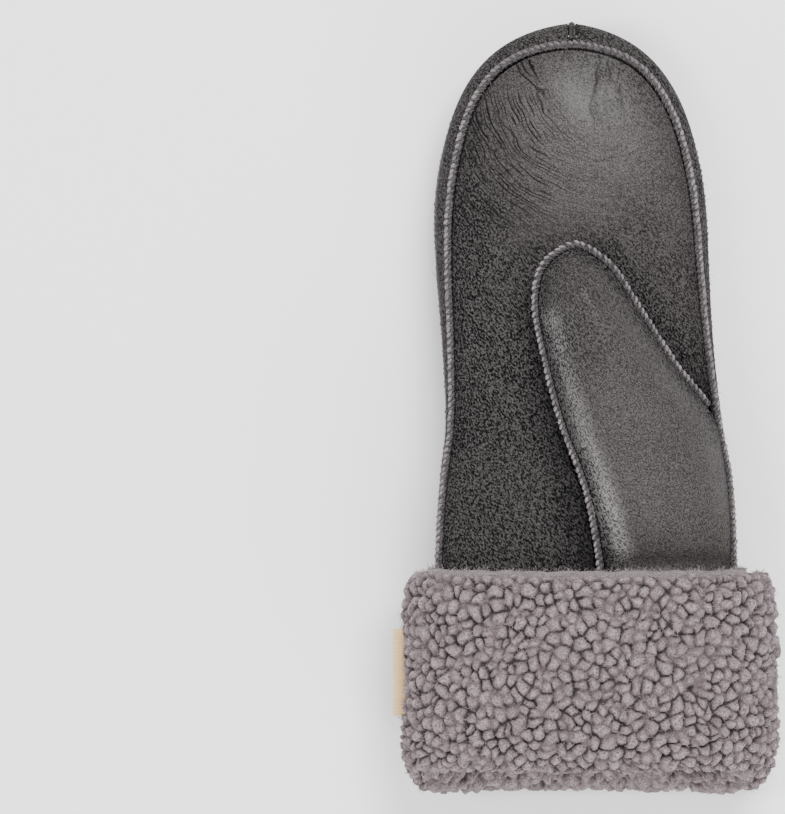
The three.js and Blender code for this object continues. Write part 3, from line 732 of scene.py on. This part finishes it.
# Seams
def strands(name, paths, radius, finish, sides=1):
    """Round strands along paths, made into one mesh."""
    curve = bpy.data.curves.new(name, "CURVE")
    curve.dimensions = "3D"
    curve.bevel_depth = radius
    curve.bevel_resolution = sides
    curve.use_fill_caps = True
    for path in paths:
        spline = curve.splines.new("POLY")
        spline.points.add(len(path) - 1)
        for point, place in zip(spline.points, path):
            point.co = (*place, 1.0)
    source = bpy.data.objects.new(name + "_path", curve)
    bpy.context.collection.objects.link(source)
    mesh = evaluated_mesh(source)
    bpy.data.objects.remove(source)
    mesh.name = name
    mesh.materials.clear()
    mesh.materials.append(finish)
    piece = bpy.data.objects.new(name, mesh)
    bpy.context.collection.objects.link(piece)
    for face in mesh.polygons:
        face.use_smooth = True
    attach(piece, "root")
    return piece


def line_frame(line, index):
    """The way along a seam line, to its right and up, at one of its points."""
    along = (line[index + 1] - line[index - 1]).normalized()
    right = along.cross(Vector((0, 0, 1))).normalized()
    return along, right, right.cross(along)


# The stitches and their fuzz
STITCH = 2.2 * MM
THREAD_RADIUS = 0.14 * MM
FUZZ_RADIUS = 0.05 * MM
FUZZ_PER_STEP = 0.6
TUFT_HAIRS = 70

# The beads: their slant, where they sit on a welt, and half their length in shares of the pitch
BEAD_LEAN = 0.5
BEAD_OUT = 0.80 * MM
BEAD_UP = 0.86 * MM
BEAD_HALF_LENGTH = (0.42, 0.56)
BEAD_THICKNESS = (0.46, 0.64)


def bead_row(name, line, side, pitch, seed):
    """Overcast stitches seen from above: a row of small slanted beads on the outer side of a seam."""
    chance = random.Random(seed)
    work = bmesh.new()
    count = int((len(line) - 2) * SEAM_STEP / pitch)
    for number in range(count):
        index = min(1 + round(number * pitch / SEAM_STEP), len(line) - 2)
        along, right, up = line_frame(line, index)
        lean = along * math.cos(BEAD_LEAN) + right * (math.sin(BEAD_LEAN) + chance.gauss(0, 0.10))
        lean.normalize()
        wide = up.cross(lean).normalized()
        half = pitch * chance.uniform(*BEAD_HALF_LENGTH)
        thick = chance.uniform(*BEAD_THICKNESS) * MM
        centre = line[index] + right * (side * BEAD_OUT) + up * BEAD_UP
        centre += along * chance.gauss(0, 0.14) * MM + right * chance.gauss(0, 0.07) * MM
        made = bmesh.ops.create_icosphere(work, subdivisions=2, radius=1.0)["verts"]
        for vert in made:
            x, y, z = vert.co
            vert.co = centre + lean * x * half + wide * y * thick + up * z * thick
    piece = to_object(work, name, THREAD)
    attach(piece, "root")


def hair(chance, start, way, reach):
    """A short curled hair from a place, in about the given way."""
    lean = (way + Vector([chance.gauss(0, 0.7) for _ in range(3)])).normalized()
    bend = Vector([chance.gauss(0, 1) for _ in range(3)]).normalized()
    return [start, start + lean * reach * 0.5, start + (lean + bend * 0.7) * reach]


# Where thread ends show as a tuft, as shares of the hand's width and millimetres below the tip
TUFTS = {"palm_seam": (-0.068, 1.8), "thumb_seam": (-0.020, 162.0)}


def seam(node, pitch, seed):
    """A seam: the leather edges, the thread around them, the beads on top and the fuzz."""
    line = seam_lines[node]
    core = strands(node + "_edges", [line[::3] + line[-1:]], WELT, EDGE)
    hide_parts(node)
    side = -1 if line[0].x < line[-1].x else 1
    chance = random.Random(seed)
    turns = []
    travelled = 0.0
    for index in range(1, len(line) - 1):
        along, right, up = line_frame(line, index)
        wander = noise.noise(line[index] * 400) * 0.15 * pitch
        for part in (0.0, 0.5):
            angle = 2 * math.pi * (travelled + part * SEAM_STEP) / pitch
            out = up * math.sin(angle) - right * math.cos(angle)
            slip = wander - 0.20 * pitch * math.cos(angle)
            turns.append(line[index] + along * (part * SEAM_STEP + slip) + out * WELT)
        travelled += SEAM_STEP
    thread = strands(node + "_overcast", [turns], THREAD_RADIUS, SHADED_THIN_THREAD)
    bead_row(node + "_beads", line, side, pitch, seed)
    fuzz = []
    for _ in range(int(len(line) * FUZZ_PER_STEP)):
        start = line[chance.randrange(1, len(line) - 1)]
        offset = Vector((chance.gauss(0, 0.6), chance.gauss(0, 0.6), chance.uniform(0.4, 1.2)))
        start = start + offset * MM
        fuzz.append(hair(chance, start, Vector((0, 0, 0.4)), chance.uniform(0.6, 1.6) * MM))
    if node in TUFTS:
        spot = hand_place(*TUFTS[node])
        root = min(line, key=lambda place: (place.xy - spot).length)
        for _ in range(TUFT_HAIRS):
            offset = Vector((chance.gauss(0, 0.4), chance.gauss(0, 0.4), chance.uniform(0.6, 1.3)))
            start = root + offset * MM
            fuzz.append(hair(chance, start, Vector((-0.3, 0, 0.5)), chance.uniform(0.7, 1.5) * MM))
    hairs = strands(node + "_fuzz", fuzz, FUZZ_RADIUS, THREAD, sides=0)


# The joint's smoothness also sets the painted sheen of its colour
JOINT_SMOOTHNESS_AND_SHEEN = 0.25


def tip_joint():
    """The short joint between the side bands at the tip, drawn in under the leather."""
    core = strands("tip_seam_edges", [seam_lines["tip_seam"]], WELT, LEATHER, sides=3)
    smooth_and_sheen = core.data.attributes.new("smooth_and_sheen", "FLOAT", "POINT")
    smooth_and_sheen.data.foreach_set("value", [JOINT_SMOOTHNESS_AND_SHEEN] * len(core.data.vertices))
    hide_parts("tip_seam")


# Cuff
pile_low, pile_high = corners("cuff_fleece")

# Size of the fleece's clumps, how high they stand in millimetres, how much longer than wide
# they may be, and how wide a clump's ball and the cracks are as shares of its size
CLUMP = 3.15 * MM
CLUMP_RISE = 1.7
CLUMP_LENGTHENING = 0.55
BALL_WIDTH = 0.66
CRACK_WIDTH = 0.36

# Single hairs on the pile and on the cut edge
PILE_HAIRS = 9000
RIM_HAIRS = 1200
HAIR_RADIUS = 0.06 * MM

skin_low, skin_high = corners("cuff_skin")
skin_middle = (skin_low + skin_high) / 2
skin_half = (skin_high - skin_low) / 2

# The pile's outside lies beyond a rounded box around the skin, this far out and this square
OUTSIDE_GAP = 2 * MM
OUTSIDE_POWER = 2.3

# How far below its middle the fleece still has full detail
DETAIL_DEPTH = 12 * MM

LABEL_ROUNDING = 0.5 * MM


def outside_cuff(place):
    """Whether a place on the fleece is on its outside, and not on the lining."""
    across = (place.x - skin_middle.x) / (skin_half.x + OUTSIDE_GAP)
    up = (place.z - skin_middle.z) / (skin_half.z + OUTSIDE_GAP)
    return abs(across) ** OUTSIDE_POWER + abs(up) ** OUTSIDE_POWER > 1


def wool(name, faces, count, seed):
    """Single hairs that stand out of a worked mesh's faces."""
    chance = random.Random(seed)
    hairs = []
    for _ in range(count):
        face = chance.choice(faces)
        start = face.calc_center_median() - face.normal * (0.2 * MM)
        hairs.append(hair(chance, start, face.normal * 0.6, chance.uniform(0.6, 1.5) * MM))
    piece = strands(name, hairs, HAIR_RADIUS, WOOL, sides=0)


def scattered(faces, spacing, seed):
    """Places spread at random over faces, none of them closer to another than a spacing."""
    chance = random.Random(seed)
    areas = [face.calc_area() for face in faces]
    picks = chance.choices(faces, weights=areas, k=int(12 * sum(areas) / spacing ** 2))
    places = [face.calc_center_median() for face in picks]
    tree = tree_of(places)
    dropped = set()
    kept = []
    for index, place in enumerate(places):
        if index not in dropped:
            kept.append(place)
            reach = spacing * chance.uniform(0.70, 1.25)
            dropped.update(found for _, found, _ in tree.find_range(place, reach))
    return kept


def oval(offset, way):
    """The length of an offset, counted shorter along a way."""
    return math.sqrt(offset.length_squared - CLUMP_LENGTHENING * offset.dot(way) ** 2)


def raise_pile(work, middles):
    """Raise a ball of wool around each middle, and note where the cracks between them lie and where
    the cracks and the clumps' sides get painted shade.
    """
    chance = random.Random(9)
    tree = tree_of(middles)
    sizes = [chance.uniform(0.80, 1.25) for _ in middles]
    lifts = [chance.gauss(0, 0.35) for _ in middles]
    tones = [chance.random() for _ in middles]
    ways = [Vector([chance.gauss(0, 1) for _ in range(3)]).normalized() for _ in middles]
    crack_shade = work.verts.layers.float.new("crack_shade")
    clump_side_shade = work.verts.layers.float.new("clump_side_shade")
    darker = work.verts.layers.float.new("darker")
    work.normal_update()
    moves = []
    for vert in work.verts:
        place = vert.co
        sway = noise.noise_vector(place * 420) * 0.75 + noise.noise_vector(place * 150) * 1.1
        bent = place + sway * MM
        near = sorted((oval(bent - found, ways[index]) / sizes[index], index)
                      for found, index, _ in tree.find_n(bent, 6))
        first, index = near[0]
        edge = (near[1][0] - first) / CLUMP
        ball = max(1.0 - (first / (BALL_WIDTH * CLUMP)) ** 2, -0.3)
        opened = smooth_step(noise.noise(place * 230), -0.35, 0.25)
        full = 0.10 + 0.90 * smooth_step(place.y, pile_high.y - 1.5 * MM, pile_high.y - 4.5 * MM)
        knob = noise.noise(place * 600) * 0.45 + noise.noise(place * 1200) * 0.30
        cracked = smooth_step(edge, CRACK_WIDTH, 0.0)
        sunk = 0.9 * opened * cracked + 1.1
        rise = CLUMP_RISE * ball + lifts[index] + knob - sunk
        moves.append(vert.normal * (rise * full * MM))
        # How much painted shade the cracks get
        vert[crack_shade] = cracked * (0.25 + 0.75 * opened) * full
        # How much painted shade a clump's side gets
        vert[clump_side_shade] = smooth_step(edge, 0.70, 0.05) * full
        vert[darker] = tones[index]
    for vert, move in zip(work.verts, moves):
        vert.co += move
        vert.co.z = max(vert.co.z, 0.0)
    work.normal_update()


def cuff_fleece():
    """The pile, with most detail where it shows, raised into clumps and set with single hairs."""
    piece = to_object(merged_copy("cuff_fleece"), "cuff_fleece_pile", FLEECE)
    work = refined(piece, 1)
    middle = (pile_low + pile_high) / 2
    shown = set()
    for face in work.faces:
        centre = face.calc_center_median()
        outward_facing = face.normal.dot(centre - middle) > 0
        if centre.z > middle.z - DETAIL_DEPTH and outward_facing and outside_cuff(centre):
            shown.update(face.edges)
    ordered = [edge for edge in work.edges if edge in shown]
    bmesh.ops.subdivide_edges(work, edges=ordered, cuts=2, use_grid_fill=True)
    pour(work, piece)
    work = refined(piece, 1)
    # The faces for the hairs are listed before the pile rises, so that each run lists the same
    outer = [face for face in work.faces
             if face.calc_center_median().z > 2 * MM and outside_cuff(face.calc_center_median())]
    raise_pile(work, scattered(list(work.faces), CLUMP, 5))
    wool("cuff_fleece_wool", outer, PILE_HAIRS, 11)
    pour(work, piece)
    settle(piece, "fleece", "cuff_fleece")


def cuff_skin():
    work = merged_copy("cuff_skin")
    sharpen(work)
    piece = to_object(work, "cuff_skin_edge", SUEDE)
    work = refined(piece, FULL_LEVEL)
    for vert in work.verts:
        if vert.co.y > skin_middle.y:
            vert.co.y += noise.noise(vert.co * 160) * 0.6 * MM
            vert.co.z += noise.noise(vert.co * 300) * 0.3 * MM
    work.normal_update()
    rim = [face for face in work.faces
           if face.calc_center_median().y > skin_high.y - 2 * MM and face.normal.y > 0.2]
    wool("cuff_skin_wool", rim, RIM_HAIRS, 12)
    pour(work, piece)
    settle(piece, "cut_edge", "cuff_skin")


def label():
    work = merged_copy("label")
    bmesh.ops.bevel(work, geom=work.edges, offset=LABEL_ROUNDING, segments=3, profile=0.5,
                    affect="EDGES", material=-1)
    piece = to_object(work, "label_tab", TAPE)
    settle(piece, "label_tape", "label")


PANELS = (
    "back_panel", "side_band_outer", "side_band_thumb",
    "palm_panel", "thumb_front", "thumb_back",
)
for panel in PANELS:
    leather_panel(panel)
seam("palm_seam", STITCH, 1)
seam("back_seam", STITCH, 2)
seam("thumb_seam", STITCH, 3)
tip_joint()
cuff_fleece()
cuff_skin()
label()


# Floor, light and camera
FLOOR_GAP = 0.5 * MM
PAPER = (0.95, 0.95, 0.95, 1.0)
WHITE = (1.0, 1.0, 1.0, 1.0)
SKY_STRENGTH = 0.75
SOFTBOXES = (
    {"name": "key_light", "place": (0.32, 0.80, 1.25), "size": (0.8, 0.5), "power": 34.0},
    {"name": "left_light", "place": (-0.95, 0.0, 0.90), "size": (0.3, 1.2), "power": 14.0},
    {"name": "low_light", "place": (0.35, -1.10, 0.55), "size": (1.0, 0.3), "power": 19.0},
)
LIGHT_TARGET = Vector((0.0, 0.0, 0.02))


def floor():
    work = bmesh.new()
    bmesh.ops.create_grid(work, x_segments=1, y_segments=1, size=3.0)
    bmesh.ops.translate(work, verts=work.verts, vec=(0.0, 0.0, -FLOOR_GAP))
    piece = to_object(work, "floor", Finish("floor").show(Base_Color=PAPER, Roughness=0.9))


def softbox(name, place, size, power):
    light = bpy.data.lights.new(name, "AREA")
    light.shape = "RECTANGLE"
    light.size, light.size_y = size
    light.energy = power
    lamp = bpy.data.objects.new(name, light)
    lamp.location = place
    lamp.rotation_euler = (LIGHT_TARGET - Vector(place)).to_track_quat("-Z", "Y").to_euler()
    bpy.context.collection.objects.link(lamp)


def studio():
    world = bpy.data.worlds.new("studio")
    world.use_nodes = True
    sky = world.node_tree.nodes["Background"].inputs
    sky["Color"].default_value = WHITE
    sky["Strength"].default_value = SKY_STRENGTH
    bpy.context.scene.world = world
    for box in SOFTBOXES:
        softbox(**box)


# The picture's size in pixels, a pixel's size on the mitten, and where the mitten lies in it
PHOTO_WIDTH = 785
PHOTO_HEIGHT = 814
PIXEL = 0.346 * MM
PHOTO_TIP_ROW = 20
PHOTO_MIDDLE_COLUMN = 587.8
CAMERA_DISTANCE = 1.5
MITTEN_LEVEL = 25 * MM


def camera():
    data = bpy.data.cameras.new("camera")
    data.sensor_fit = "HORIZONTAL"
    data.lens = data.sensor_width * CAMERA_DISTANCE / (PHOTO_WIDTH * PIXEL)
    eye = bpy.data.objects.new("camera", data)
    low, high = (Vector(corner) for corner in cad_bounds)
    across = (low.x + high.x) / 2 - (PHOTO_MIDDLE_COLUMN - PHOTO_WIDTH / 2) * PIXEL
    along = high.y - (PHOTO_HEIGHT / 2 - PHOTO_TIP_ROW) * PIXEL
    eye.location = (across, along, CAMERA_DISTANCE + MITTEN_LEVEL)
    bpy.context.collection.objects.link(eye)
    bpy.context.scene.camera = eye


floor()
studio()
camera()
